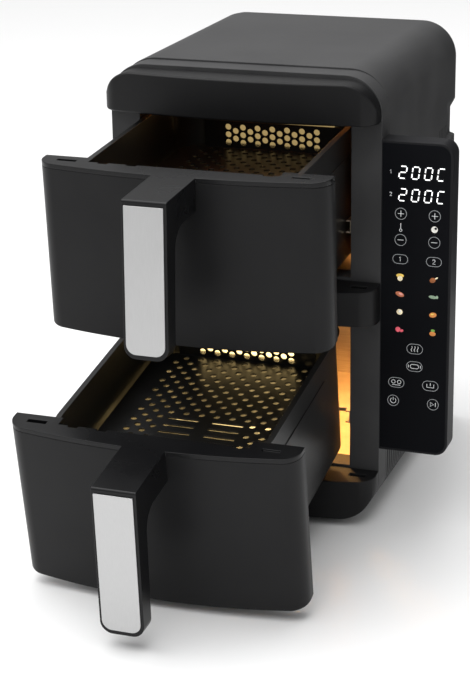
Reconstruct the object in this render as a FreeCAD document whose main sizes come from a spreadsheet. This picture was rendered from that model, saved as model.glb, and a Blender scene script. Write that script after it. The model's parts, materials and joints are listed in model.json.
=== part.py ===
import FreeCAD, Part
import os
import re
import Sketcher

# Two-drawer air fryer: a tall housing with two stacked cooking cavities, a control panel that stands
# out on the right as a wing, and two drawers that slide out and droop a little as they come.
# Frame: X to the right, Y to the back, Z up, origin on the worktop under the middle of the housing.
# Every piece is drawn with y = 0 on the front plane of the housing and then moved back as one.

vector = FreeCAD.Vector
doc = FreeCAD.newDocument("AirFryer")

# Driving sizes, in millimetres and degrees.
sizes = {
    "body_width": 238.2,
    "body_height": 390,
    "body_depth": 260,
    "corner_radius": 33,
    "cover_wall": 2.5,
    "rear_cover_depth": 12,
    "rear_cover_step": 1,
    "frame_depth": 22,
    "frame_step": 1.5,
    "base_thickness": 3,
    "foot_height": 6,
    "foot_radius": 9,
    "foot_taper": 1,
    "screw_across": 100,
    "screw_low": 24,
    "screw_middle": 195,
    "screw_high": 350,
    "post_across": 74,
    "post_width": 12,
    "foot_inset": 42,
    "front_foot_back": 14,
    # the bowed plan that the fascia, the divider, the plinth and both drawer fronts share
    "bow_depth": 30.5,
    "bow_side": 19.3,
    "bow_corner": 16,
    "fascia_step": 4.5,
    "fascia_wall": 3,
    "plinth_top": 45.5,
    "plinth_corner": 30,
    "divider_height": 33.5,
    "ledge_slope": 10,
    "front_gap": 1,
    "ledge_slot_inset": 16,
    "ledge_slot_half": 7,
    "ledge_slot_back": 8.5,
    "ledge_slot_width": 4,
    "ledge_slot_depth": 4.5,
    "front_height": 134.2,
    "front_wall": 3,
    "cap_thickness": 4,
    # cavities
    "mouth_half": 93,
    "mouth_step": 1,
    "mouth_margin": 0.2,
    "fan_room": 20,
    "cavity_depth": 199,
    "liner_wall": 0.8,
    # pots
    "rim_gap": 3,
    "pot_front": 11,
    "pot_back": 208,
    "pot_floor": 11,
    "rim_clearance": 4.5,
    "pot_wall": 1.2,
    "pot_corner": 24,
    "pot_heel": 9,
    "rim_width": 3.5,
    "rim_thickness": 1.5,
    "emboss_height": 0.8,
    # crisper plates
    "plate_gap": 2.5,
    "plate_thickness": 1.5,
    "tray_sink": 45,
    "tray_back": 24,
    "leg_radius": 4,
    "leg_inset": 14,
    "leg_inset_back": 18,
    "slot_start": 6,
    "slot_end": 33,
    "tray_slot": 3,
    "hole_radius": 2.7,
    "hole_pitch": 13.5,
    "hole_step": 8.2,
    "back_row": 3.45,
    # handles
    "handle_width": 36,
    "arm_height": 26.2,
    "reach_top": 90,
    "reach_foot": 101.5,
    "grip_foot": 12,
    "grip_thickness": 15,
    "grip_bend": 18,
    "trim_width": 31.6,
    "trim_thickness": 1.2,
    "trim_margin": 4,
    "trim_corner": 8,
    # drawer motion: the rear of each pot hangs on a rod whose shoes run in sloping channels
    "pivot_back": 215,
    "pivot_up": 40,
    "channel_slope": 1.3,
    "shut_gap": 0.5,
    "upper_travel": 125.4,
    "upper_droop": 3.53,
    "lower_travel": 194.9,
    "lower_droop": 9.15,
    "rod_radius": 2,
    "clip_across": 45,
    "clip_half": 8,
    "magnet_across": 60,
    "magnet_up": 60,
    "magnet_depth": 5,
    "magnet_height": 18,
    "running_fit": 0.05,
    "shoe_length": 10,
    "shoe_height": 8,
    "shoe_thickness": 3,
    "slide_gap": 0.3,
    "channel_wall": 1.2,
    # fans and heaters
    "fan_back": 118,
    "fan_radius": 60,
    "fan_height": 7,
    "shaft_radius": 3,
    "motor_radius": 30,
    "motor_height": 11,
    "heater_radius": 68,
    "heater_drop": 12,
    "heater_legs": 40,
    "heater_tail": 8,
    "blade_root": 18,
    "fan_clearance": 2.5,
    "tube_radius": 3.2,
    # hot air outlets, measured down from each cavity's ceiling
    "outlet_half": 27,
    "outlet_drop": 37,
    "outlet_height": 21,
    "duct_wall": 1.5,
    # recesses for lifting the housing, at the rear of both sides, and the slots beside them
    "recess_low": 283,
    "recess_high": 320,
    "recess_front": 222,
    "recess_depth": 6,
    "recess_ramp": 11,
    "recess_wall": 2,
    "vent_high": 300,
    "vent_height": 42,
    "slot_width": 2.6,
    "vent_run": 27,
    "grille_low": 20,
    "grille_height": 42,
    "grille_pitch": 6.5,
    # power board
    "board_low": 62,
    "board_front": 60,
    "board_height": 110,
    "board_length": 140,
    "board_stand": 7,
    "relay_stand": 10,
    # control panel wing
    "panel_width": 59.5,
    "panel_low": 66,
    "panel_high": 337,
    "panel_screw_inset": 16,
    "display_across": 11,
    "display_drop": 52,
    "panel_depth": 24,
    "panel_corner": 11,
    "panel_wall": 3,
    "panel_rim": 2,
    "glass_thickness": 2.5,
    "board_thickness": 1.6,
    # cable inlet
    "inlet_radius": 3.8,
    "inlet_across": 60,
    "inlet_up": 40,
    "grommet_radius": 8,
    "grommet_flange": 3,
}

sheet = doc.addObject("Spreadsheet::Sheet", "Sizes")
for row, (name, size) in enumerate(sizes.items(), start=1):
    sheet.set(f"A{row}", name)
    sheet.set(f"B{row}", str(size))
    sheet.setAlias(f"B{row}", name)
doc.recompute()

# Heights of the drawer fronts when they are shut, and the places that follow from the sizes.
places = {
    "half": "(body_width / 2)",
    "lower_shut": "(plinth_top + front_gap)",
    "divider_low": "(plinth_top + 2 * front_gap + front_height)",
    "divider_high": "(plinth_top + 2 * front_gap + front_height + divider_height)",
    "upper_shut": "(plinth_top + 3 * front_gap + front_height + divider_height)",
    "fascia_low": "(plinth_top + 4 * front_gap + 2 * front_height + divider_height)",
    "cover_back": "(body_depth - rear_cover_depth)",
    "liner_back": "(frame_depth + cavity_depth)",
    "cap_low": "(front_height - cap_thickness)",
    "mouth_height": "(front_height - mouth_margin)",
    "cavity_height": "(mouth_height + fan_room)",
    "ceiling": "(mouth_step + cavity_height)",
    "heater_up": "(ceiling - heater_drop)",
    "outlet_up": "(ceiling - outlet_drop)",
    "pot_rim": "(mouth_height - rim_clearance)",
    "pot_half": "(mouth_half - rim_width - rim_gap)",
    "plate_low": "(pot_rim - tray_sink - plate_thickness)",
}


def linked(text):
    # Turns size names into links to the sheet and place names into their sums.
    def swap(word):
        found = word.group()
        if found in places:
            return linked(places[found])
        return "Sizes." + found if found in sizes else found

    return re.sub(r"[a-z]\w*", swap, str(text))


def number(text):
    return float(sheet.evalExpression(linked(text)))


# --- Sketch and feature helpers ---------------------------------------------------------------

planes = {"XY": ("XY_Plane", 1), "XZ": ("XZ_Plane", -1), "YZ": ("YZ_Plane", 1)}


def new_body(label):
    body = doc.addObject("PartDesign::Body", label)
    body.Label = label
    return body


def hold(sketch, element, point, across, up):
    # Ties one sketch point to its two coordinates.
    for kind, distance in (("DistanceX", across), ("DistanceY", up)):
        rule = sketch.addConstraint(Sketcher.Constraint(kind, element, point, number(distance)))
        sketch.setExpression(f"Constraints[{rule}]", linked(distance))


def outline(sketch, corners):
    # A closed loop. A corner is (across, up), and a third entry makes the side that leaves it an
    # arc: (across, up, (middle across, middle up), radius).
    spots = [vector(number(c[0]), number(c[1]), 0) for c in corners]
    ends = []
    for k, corner in enumerate(corners):
        here, there = spots[k], spots[(k + 1) % len(spots)]
        if len(corner) == 2:
            element = sketch.addGeometry(Part.LineSegment(here, there))
            ends.append((element, 1, 2))
            continue
        middle = vector(number(corner[2][0]), number(corner[2][1]), 0)
        arc = Part.Arc(here, middle, there)
        element = sketch.addGeometry(arc)
        forward = sketch.Geometry[element].StartPoint.distanceToPoint(here) < 1e-6
        ends.append((element, 1, 2) if forward else (element, 2, 1))
        rule = sketch.addConstraint(Sketcher.Constraint("Radius", element, number(corner[3])))
        sketch.setExpression(f"Constraints[{rule}]", linked(corner[3]))
    for k, corner in enumerate(corners):
        element, start, _ = ends[k]
        before, _, finish = ends[k - 1]
        sketch.addConstraint(Sketcher.Constraint("Coincident", before, finish, element, start))
        hold(sketch, element, start, corner[0], corner[1])


def ring(sketch, across, up, radius):
    centre = vector(number(across), number(up), 0)
    element = sketch.addGeometry(Part.Circle(centre, vector(0, 0, 1), number(radius)))
    rule = sketch.addConstraint(Sketcher.Constraint("Radius", element, number(radius)))
    sketch.setExpression(f"Constraints[{rule}]", linked(radius))
    hold(sketch, element, 3, across, up)


def box_corners(left, right, low, high):
    return [(left, low), (right, low), (right, high), (left, high)]


def round_box(left, right, low, high, radii):
    # A rectangle with arcs at its corners, from the lower left round to the upper left; None is sharp.
    spots = ((left, low, 1, 1), (right, low, -1, 1), (right, high, -1, -1), (left, high, 1, -1))
    corners = []
    for (across, up, inward, raised), radius in zip(spots, radii):
        if radius is None:
            corners.append((across, up))
            continue
        on_side = (across, f"{up} + ({raised}) * ({radius})")
        on_level = (f"{across} + ({inward}) * ({radius})", up)
        bite = f"({radius}) * (1 - sqrt(0.5))"
        middle = (f"{across} + ({inward}) * {bite}", f"{up} + ({raised}) * {bite}")
        first, last = (on_side, on_level) if inward == raised else (on_level, on_side)
        corners += [(*first, middle, radius), last]
    return corners


def extrude(body, kind, plane, low, high, loops=(), rings=()):
    # A Pad or Pocket between two heights along the plane's own axis.
    role, sign = planes[plane]
    sketch = body.newObject("Sketcher::SketchObject", body.Name + "Sketch")
    sketch.AttachmentSupport = [(next(f for f in body.Origin.OriginFeatures if f.Role == role), "")]
    sketch.MapMode = "FlatFace"
    sketch.setExpression("AttachmentOffset.Base.z", linked(f"{sign} * ({low})"))
    for corners in loops:
        outline(sketch, corners)
    for across, up, radius in rings:
        ring(sketch, across, up, radius)
    before = body.Tip.Shape.Volume if body.Tip else 0
    feature = body.newObject("PartDesign::" + kind, body.Name + kind)
    feature.Profile = sketch
    feature.setExpression("Length", linked(f"({high}) - ({low})"))
    feature.Reversed = (kind == "Pad") == (sign < 0)
    doc.recompute()
    change = feature.Shape.Volume - before
    if (kind == "Pocket") != (change < 0):
        raise ValueError(f"{body.Label}: {feature.Name} changed the volume by {change:.1f}")
    return feature


def pad(body, plane, low, high, loops=(), rings=()):
    return extrude(body, "Pad", plane, low, high, loops, rings)


def pocket(body, plane, low, high, loops=(), rings=()):
    return extrude(body, "Pocket", plane, low, high, loops, rings)


def repeat(body, feature, axis, length, count, backwards=False):
    # Copies a feature along one of the body's axes.
    pattern = body.newObject("PartDesign::LinearPattern", body.Name + "Row")
    pattern.Originals = [feature]
    pattern.Reversed = backwards
    role = axis + "_Axis"
    pattern.Direction = (next(f for f in body.Origin.OriginFeatures if f.Role == role), [""])
    pattern.setExpression("Length", linked(length))
    pattern.Occurrences = count
    body.Tip = pattern
    doc.recompute()
    return pattern


def runs_along(edge, axis):
    if edge.Curve.TypeId != "Part::GeomLine":
        return False
    return abs(getattr(edge.Curve.Direction, axis)) > 0.999


def fillet(body, radius, chosen):
    # Rounds the edges that the test picks out.
    tip = body.Tip
    names = [f"Edge{k}" for k, edge in enumerate(tip.Shape.Edges, start=1) if chosen(edge)]
    if not names:
        raise ValueError(f"{body.Label}: no edge to round")
    feature = body.newObject("PartDesign::Fillet", body.Name + "Fillet")
    feature.Base = (tip, names)
    feature.setExpression("Radius", linked(radius))
    doc.recompute()
    return feature


def near(value, text, slack=0.05):
    return abs(value - number(text)) < slack


def middle_at(edge, x=None, y=None, z=None):
    # True where the edge's middle has the given coordinates; x counts on both sides.
    middle = edge.CenterOfMass
    wanted = ((abs(middle.x), x), (middle.y, y), (middle.z, z))
    return all(text is None or near(value, text) for value, text in wanted)


def primitive(kind, name, at, **lengths):
    # A Part primitive whose sizes and place are links to the sheet.
    thing = doc.addObject("Part::" + kind, name)
    for axis, place in zip("xyz", at):
        thing.setExpression(f"Placement.Base.{axis}", linked(place))
    for field, length in lengths.items():
        thing.setExpression(field, linked(length))
    return thing


def turned(thing, axis, degrees):
    thing.Placement = FreeCAD.Placement(thing.Placement.Base, FreeCAD.Rotation(axis, degrees))
    return thing


def group(label, pieces):
    whole = doc.addObject("Part::Compound", label)
    whole.Label = label
    whole.Links = pieces
    return whole


# --- Housing ----------------------------------------------------------------------------------

nodes = []


def place_on_housing(node):
    node.setExpression("Placement.Base.y", linked("-body_depth / 2"))
    nodes.append(node)


bow_radius = "((half ^ 2 + (bow_depth - bow_side) ^ 2) / (2 * (bow_depth - bow_side)))"
bow_plan = [
    ("-half", "-bow_side", ("0", "-bow_depth"), bow_radius),
    ("half", "-bow_side"),
    ("half", "0"),
    ("-half", "0"),
]


def bowed_block(label, low, high):
    body = new_body(label)
    pad(body, "XY", low, high, [bow_plan])
    forward = number("-bow_side / 2")
    fillet(body, "bow_corner", lambda e: runs_along(e, "z") and e.CenterOfMass.y < forward)
    return body


def slope_off(body, low, high, from_above):
    # Takes a wedge off a block so that the face at the drawer's ledge falls towards the front.
    reach = "(bow_depth + 1)"
    fall = f"{reach} * tan(ledge_slope)"
    level = high if from_above else low
    spare = f"{level} + 1" if from_above else f"{level} - 1 - {fall}"
    wedge = [("0", level), (f"-{reach}", f"{level} - {fall}"), (f"-{reach}", spare), ("0", spare)]
    pocket(body, "YZ", "-half - 1", "half + 1", [wedge])


def within_profile(body, label, low, high, radius, top):
    # Keeps what lies inside a front outline whose two top or bottom corners are round.
    profile = new_body(label + "_profile")
    pad(profile, "XZ", "-bow_depth - 1", "1", [box_corners("-half", "half", low, high)])
    arch_corner(profile, radius, high if top else low)
    common = doc.addObject("Part::Common", label)
    common.Label = label
    common.Base = body
    common.Tool = profile
    place_on_housing(common)


def top_fascia():
    body = bowed_block("fascia_block", "fascia_low", "body_height - fascia_step")
    top = "(body_height - fascia_step)"
    hollow = box_corners(
        "-half + corner_radius", "half - corner_radius", "fascia_low + fascia_wall", f"{top} - fascia_wall"
    )
    pocket(body, "XZ", "-bow_side + fascia_wall", "0", [hollow])
    within_profile(body, "top_fascia", "fascia_low", top, "corner_radius - fascia_step", True)


def ledge_slots(body, level):
    # Short slots near both ends of a ledge.
    for hand in (-1, 1):
        middle = f"{hand} * (half - ledge_slot_inset)"
        left, right = f"{middle} - ledge_slot_half", f"{middle} + ledge_slot_half"
        slot = box_corners(left, right, "-ledge_slot_back - ledge_slot_width", "-ledge_slot_back")
        pocket(body, "XY", f"{level} - ledge_slot_depth", level, [slot])


def divider_band():
    body = bowed_block("divider_band", "divider_low", "divider_high")
    slope_off(body, "divider_low", "divider_high", True)
    ledge_slots(body, "divider_high")
    place_on_housing(body)


def plinth():
    body = bowed_block("plinth_block", "foot_height", "plinth_top")
    slope_off(body, "foot_height", "plinth_top", True)
    ledge_slots(body, "plinth_top")
    within_profile(body, "plinth", "foot_height", "plinth_top", "plinth_corner", False)


def arch_corner(body, radius, top):
    fillet(body, radius, lambda e: runs_along(e, "y") and near(e.CenterOfMass.z, top))


def front_frame():
    body = new_body("front_frame")
    top = "body_height - frame_step"
    low = "foot_height"
    pad(body, "XZ", "0", "frame_depth", [box_corners("-half", "half", low, top)])
    arch_corner(body, "corner_radius - frame_step", top)
    arch_corner(body, "plinth_corner", low)
    for shut in ("lower_shut", "upper_shut"):
        mouth = box_corners(
            "-mouth_half", "mouth_half", f"{shut} + mouth_step", f"{shut} + mouth_step + mouth_height"
        )
        pocket(body, "XZ", "0", "frame_depth", [mouth])
    place_on_housing(body)


def recess_profile(hand):
    # Seen from the front: a steep floor, a flat back and a long ramp for a ceiling.
    back = f"{hand} * (half - recess_depth)"
    outside = f"{hand} * (half + 1)"
    return [
        (outside, "recess_low"),
        (outside, "recess_high + recess_ramp / recess_depth"),
        (back, "recess_high - recess_ramp"),
        (back, "recess_low + 2"),
    ]


def recess_box(hand):
    near_face = f"{hand} * (half - recess_depth - recess_wall)"
    far_face = f"{hand} * (half - cover_wall / 2)"
    return box_corners(near_face, far_face, "recess_low - recess_wall", "recess_high + recess_wall")


def housing_cover():
    body = new_body("housing_cover")
    low = "foot_height"
    pad(body, "XZ", "frame_depth", "cover_back", [box_corners("-half", "half", low, "body_height")])
    arch_corner(body, "corner_radius", "body_height")
    arch_corner(body, "plinth_corner", low)
    inner_top = "body_height - cover_wall"
    inner_low = "foot_height + cover_wall"
    inside = round_box(
        "-half + cover_wall", "half - cover_wall", inner_low, inner_top,
        ["plinth_corner - cover_wall"] * 2 + ["corner_radius - cover_wall"] * 2,
    )
    pocket(body, "XZ", "frame_depth", "cover_back", [inside])
    # the walls of the two lifting recesses stand inside the cover
    for hand in (-1, 1):
        pad(body, "XZ", "recess_front - recess_wall", "cover_back", [recess_box(hand)])
        pocket(body, "XZ", "recess_front", "cover_back", [recess_profile(hand)])
    # cooling slots beside the recesses and low down on both sides
    through = ("-half - 1", "half + 1")
    vent_front = "recess_front - vent_run"
    vent = box_corners(vent_front, f"{vent_front} + slot_width", "vent_high - vent_height", "vent_high")
    repeat(body, pocket(body, "YZ", *through, [vent]), "Y", "22", 5)
    first = "frame_depth + 5"
    slot = box_corners(first, f"{first} + slot_width", "grille_low", "grille_low + grille_height")
    repeat(body, pocket(body, "YZ", *through, [slot]), "Y", "25 * grille_pitch", 26)
    place_on_housing(body)


def rear_cover():
    body = new_body("rear_cover")
    side = "half - rear_cover_step"
    top = "body_height - rear_cover_step"
    low = "foot_height"
    pad(body, "XZ", "cover_back", "body_depth", [box_corners(f"-({side})", side, low, top)])
    arch_corner(body, "corner_radius - rear_cover_step", top)
    arch_corner(body, "plinth_corner", low)
    fillet(body, "3", lambda e: near(e.CenterOfMass.y, "body_depth") and not near(e.CenterOfMass.z, low))
    side = "half - corner_radius"
    hollow = box_corners(f"-({side})", side, "foot_height + 14", "body_height - 20")
    pocket(body, "XZ", "cover_back", "body_depth - cover_wall", [hollow])
    # hot air outlets, one row of louvres for each cavity
    for shut in ("lower_shut", "upper_shut"):
        low = f"{shut} + outlet_up - 6"
        louvre = box_corners("-outlet_half - 15", "outlet_half + 15", low, f"{low} + 3")
        repeat(body, pocket(body, "XZ", "body_depth - 4", "body_depth + 1", [louvre]), "Z", "30", 6)
    for hand in (-1, 1):
        pocket(body, "XZ", "cover_back", "body_depth + 1", [recess_profile(hand)])
    inlet = ("inlet_across", "inlet_up", "grommet_radius")
    pocket(body, "XZ", "cover_back", "body_depth + 1", rings=[inlet])
    place_on_housing(body)


def chassis_plate():
    # A plate on the floor of the cover, on which the lower cavity stands.
    body = new_body("chassis_plate")
    side = "half - plinth_corner"
    low = "foot_height + cover_wall"
    top = f"{low} + base_thickness"
    pad(body, "XY", low, top, [box_corners(f"-({side})", side, "frame_depth", "cover_back")])
    slot = pocket(body, "XY", low, top, [box_corners("-60", "60", "90", "94")])
    repeat(body, slot, "Y", "100", 9)
    place_on_housing(body)


def cavity_posts():
    # Four sheet-metal posts carry the lower cavity, and four more the upper one.
    posts = []
    for low, high in (
        ("foot_height + cover_wall + base_thickness", "lower_shut + mouth_step - liner_wall"),
        ("lower_shut + mouth_step + cavity_height + liner_wall", "upper_shut + mouth_step - liner_wall"),
    ):
        for hand in (-1, 1):
            for back in ("frame_depth + 8", "liner_back - 14"):
                post = primitive(
                    "Box", "Post", (f"{hand} * post_across - post_width / 2", back, low),
                    Length="post_width", Width="post_width / 2", Height=f"{high} - ({low})",
                )
                posts.append(post)
    place_on_housing(group("cavity_posts", posts))


def rubber_feet():
    feet = []
    for hand in (-1, 1):
        for back in ("front_foot_back", "cover_back - foot_inset / 2"):
            at = (f"{hand} * (half - foot_inset)", back, "0")
            tread = "foot_radius - foot_taper"
            feet.append(
                primitive("Cone", "Foot", at, Radius1=tread, Radius2="foot_radius", Height="foot_height")
            )
    place_on_housing(group("rubber_feet", feet))


def cable_grommet():
    body = new_body("cable_grommet")
    middle = ("inlet_across", "inlet_up")
    back = "body_depth + grommet_flange"
    pad(body, "XZ", "cover_back + 6", "body_depth", rings=[(*middle, "grommet_radius")])
    pad(body, "XZ", "body_depth", back, rings=[(*middle, "grommet_radius + grommet_flange")])
    pocket(body, "XZ", "cover_back + 6", back, rings=[(*middle, "inlet_radius")])
    place_on_housing(body)


def screw_heads(label, spots, back, radius, height):
    # Pan heads that stand on a wall facing backwards, each with a square socket.
    heads = []
    for across, up in spots:
        head = turned(
            primitive(
                "Cylinder", "Head", (across, f"({back}) + ({height})", up), Radius=radius, Height=height
            ),
            vector(1, 0, 0), 90,
        )
        socket = primitive(
            "Box", "Socket", (f"{across} - 1", f"({back}) + ({height}) / 2", f"{up} - 1"),
            Length="2", Width=height, Height="2",
        )
        cut = doc.addObject("Part::Cut", "ScrewHead")
        cut.Base = head
        cut.Tool = socket
        heads.append(cut)
    return group(label, heads)


def rear_screws():
    levels = ("screw_low", "screw_middle", "screw_high")
    spots = [(f"{hand} * screw_across", up) for hand in (-1, 1) for up in levels]
    place_on_housing(screw_heads("rear_screws", spots, "body_depth", "3.5", "1.6"))


# --- Cavities ---------------------------------------------------------------------------------


def liner(prefix, shut):
    body = new_body(prefix + "_liner")
    low = f"{shut} + mouth_step"
    high = f"{low} + cavity_height"
    wall = "liner_wall"
    reach = f"mouth_half + {wall}"
    outside = box_corners(f"-({reach})", reach, f"{low} - {wall}", f"{high} + {wall}")
    pad(body, "XZ", "frame_depth", "liner_back", [outside])
    inside = box_corners("-mouth_half", "mouth_half", low, high)
    pocket(body, "XZ", "frame_depth", f"liner_back - {wall}", [inside])
    pocket(body, "XY", high, f"{high} + {wall}", rings=[("0", "fan_back", "shaft_radius + 4")])
    outlet_low = f"{shut} + outlet_up"
    outlet = box_corners("-outlet_half", "outlet_half", outlet_low, f"{outlet_low} + outlet_height")
    pocket(body, "XZ", f"liner_back - {wall}", "liner_back", [outlet])
    for hand in (-1, 1):
        leg = (f"{hand} * heater_legs", f"{shut} + heater_up", "tube_radius + 0.2")
        pocket(body, "XZ", f"liner_back - {wall}", "liner_back", rings=[leg])
    place_on_housing(body)


def channel_strip(start, finish, middle, thickness):
    # Corners of a strip that climbs towards the front with the channel, seen from the right.
    def at(back, up):
        return (back, f"{middle} + (pivot_back - ({back})) * tan(channel_slope) + {up}")

    return [
        at(start, f"-({thickness}) / 2"),
        at(finish, f"-({thickness}) / 2"),
        at(finish, f"({thickness}) / 2"),
        at(start, f"({thickness}) / 2"),
    ]


def runners(prefix, shut):
    # A channel on each side wall of the cavity, in which the drawer's shoes slide.
    rails = []
    middle = f"{shut} + pivot_up"
    lip = "mouth_half - shoe_thickness - slide_gap - channel_wall"
    for hand, name in ((-1, "Left"), (1, "Right")):
        body = new_body(prefix + name + "Runner")
        near_face, wall_face = (lip, "mouth_half") if hand > 0 else ("-mouth_half", f"-({lip})")
        slot_near, slot_wall = (
            (lip, "mouth_half - channel_wall") if hand > 0 else ("-mouth_half + channel_wall", f"-({lip})")
        )
        back = "liner_back - liner_wall"
        whole = channel_strip("2", back, middle, "shoe_height + 2 * slide_gap + 2 * channel_wall")
        slot = channel_strip("-1", "liner_back", middle, "shoe_height + 2 * slide_gap")
        pad(body, "YZ", near_face, wall_face, [whole])
        pocket(body, "YZ", slot_near, slot_wall, [slot])
        rails.append(body)
    place_on_housing(group(prefix + "_runners", rails))


def heater(prefix, shut):
    # An open ring of tube under the ceiling, with both ends out through the back wall.
    high = f"{shut} + heater_up"
    ring_piece = primitive(
        "Torus", prefix + "Ring", ("0", "fan_back", high), Radius1="heater_radius", Radius2="tube_radius"
    )
    spread = 2 * number("asin(heater_legs / heater_radius)")
    ring_piece.Angle3 = 360 - spread
    ring_piece.Placement.Rotation = FreeCAD.Rotation(vector(0, 0, 1), 90 + spread / 2)
    pieces = [ring_piece]
    for hand in (-1, 1):
        start = "fan_back + sqrt(heater_radius ^ 2 - heater_legs ^ 2)"
        at = (f"{hand} * heater_legs", start, high)
        reach = f"liner_back + heater_tail - ({start})"
        leg = primitive("Cylinder", prefix + "Leg", at, Radius="tube_radius", Height=reach)
        pieces.append(turned(leg, vector(1, 0, 0), -90))
        pieces.append(primitive("Sphere", prefix + "Bend", at, Radius="tube_radius"))
    whole = doc.addObject("Part::MultiFuse", prefix + "_heater")
    whole.Shapes = pieces
    whole.Label = prefix + "_heater"
    place_on_housing(whole)


def fan(prefix, shut):
    body = new_body(prefix + "_fan")
    ceiling = f"{shut} + mouth_step + cavity_height"
    disc_top = f"{ceiling} - 1.5"
    low = f"{disc_top} - fan_height"
    pad(body, "XY", f"{disc_top} - 1", disc_top, rings=[("0", "0", "fan_radius")])
    pad(body, "XY", low, disc_top, rings=[("0", "0", "shaft_radius + 5")])
    tip = "fan_radius - 3"
    blade_plan = [("blade_root", "-4"), (tip, "9"), (tip, "10.6"), ("blade_root", "-2.4")]
    blade = pad(body, "XY", low, disc_top, [blade_plan])
    blades = body.newObject("PartDesign::PolarPattern", prefix + "Blades")
    blades.Originals = [blade]
    blades.Axis = (next(f for f in body.Origin.OriginFeatures if f.Role == "Z_Axis"), [""])
    blades.Angle = 360
    blades.Occurrences = 12
    body.Tip = blades
    doc.recompute()
    pocket(body, "XY", low, disc_top, rings=[("0", "0", "shaft_radius")])
    body.setExpression("Placement.Base.y", linked("fan_back - body_depth / 2"))
    nodes.append(body)
    # The shaft hangs from the motor and carries the fan at its lower end.
    at = ("0", "fan_back", f"{low} - 1")
    shaft = primitive(
        "Cylinder", prefix + "Shaft", at, Radius="shaft_radius",
        Height="fan_height + fan_clearance + liner_wall + motor_height",
    )
    place_on_housing(group(prefix + "_fan_shaft", [shaft]))


def motor(prefix, shut):
    body = new_body(prefix + "_motor")
    low = f"{shut} + mouth_step + cavity_height + liner_wall"
    high = f"{low} + motor_height"
    pad(body, "XY", low, high, rings=[("0", "fan_back", "motor_radius")])
    ear = box_corners("-motor_radius - 8", "motor_radius + 8", "fan_back - 7", "fan_back + 7")
    pad(body, "XY", low, f"{low} + 2", [ear])
    pocket(body, "XY", low, high, rings=[("0", "fan_back", "shaft_radius + running_fit")])
    fillet(body, "2", lambda e: near(e.CenterOfMass.z, high) and e.Length > 100)
    place_on_housing(body)


def exhaust_ducts():
    # A short tube from each cavity's back wall to the outlet louvres.
    tubes = []
    for prefix, shut in (("Lower", "lower_shut"), ("Upper", "upper_shut")):
        body = new_body(prefix + "Duct")
        low, high = f"{shut} + outlet_up", f"{shut} + outlet_up + outlet_height"
        thick = "duct_wall + 1"
        outside = box_corners(
            f"-outlet_half - {thick} - 0.5", f"outlet_half + {thick} + 0.5",
            f"{low} - {thick}", f"{high} + {thick} - 2",
        )
        pad(body, "XZ", "liner_back", "cover_back", [outside])
        inside = box_corners("-outlet_half - 1", "outlet_half + 1", f"{low} - 1", f"{high} - 1")
        pocket(body, "XZ", "liner_back", "cover_back", [inside])
        tubes.append(body)
    place_on_housing(group("exhaust_ducts", tubes))


def thermal_cutouts():
    cans = []
    for shut in ("lower_shut", "upper_shut"):
        low = f"{shut} + mouth_step + cavity_height + liner_wall"
        cans.append(primitive("Cylinder", "Can", ("62", "fan_back + 40", low), Radius="8", Height="6"))
    place_on_housing(group("thermal_cutouts", cans))


def power_board():
    # The board stands on posts beside the lower cavity, on the left.
    inner = "half - cover_wall"
    board = new_body("power_board")
    face = f"-({inner}) + board_stand"
    outer_face = f"{face} + board_thickness"
    back, top = "board_front + board_length", "board_low + board_height"
    pad(board, "YZ", face, outer_face, [box_corners("board_front", back, "board_low", top)])
    place_on_housing(board)
    posts = []
    for along in ("board_front + 6", f"{back} - 6"):
        for up in ("board_low + 6", f"{top} - 6"):
            foot = (f"-({inner})", along, up)
            post = primitive("Cylinder", "Post", foot, Radius="3", Height="board_stand")
            posts.append(turned(post, vector(0, 1, 0), 90))
    place_on_housing(group("board_posts", posts))
    # two relays, a transformer and a capacitor: (back, up, depth, height) from the board's corner
    blocks = [(20, 18, 28, 20), (20, 48, 28, 20), (70, 24, 34, 40), (70, 74, 20, 20)]
    parts = [
        primitive(
            "Box", "Block", (outer_face, f"board_front + {along}", f"board_low + {up}"),
            Length="relay_stand", Width=deep, Height=tall,
        )
        for along, up, deep, tall in blocks
    ]
    place_on_housing(group("board_relays", parts))


def reed_switches():
    # One behind the frame at each mouth, opposite the drawer's magnet.
    blocks = [
        primitive(
            "Box", "Reed", ("mouth_half + 2", "frame_depth", f"{shut} + magnet_up"),
            Length="8", Width="magnet_depth", Height="magnet_height",
        )
        for shut in ("lower_shut", "upper_shut")
    ]
    place_on_housing(group("reed_switches", blocks))


def catch_springs():
    # A bent leaf of spring steel at the top right of each mouth steadies the rim of the pot.
    leaves = []
    for shut in ("lower_shut", "upper_shut"):
        body = new_body("Leaf")
        high = f"{shut} + mouth_step + mouth_height - 1"
        leaf = [
            ("mouth_half", "3"),
            ("mouth_half", "19"),
            ("mouth_half - 0.6", "19"),
            ("mouth_half - 2", "12"),
            ("mouth_half - 2", "10"),
            ("mouth_half - 0.6", "3"),
        ]
        pad(body, "XY", f"{high} - 9", high, [leaf])
        leaves.append(body)
    place_on_housing(group("catch_springs", leaves))


# --- Control panel ----------------------------------------------------------------------------


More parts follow.
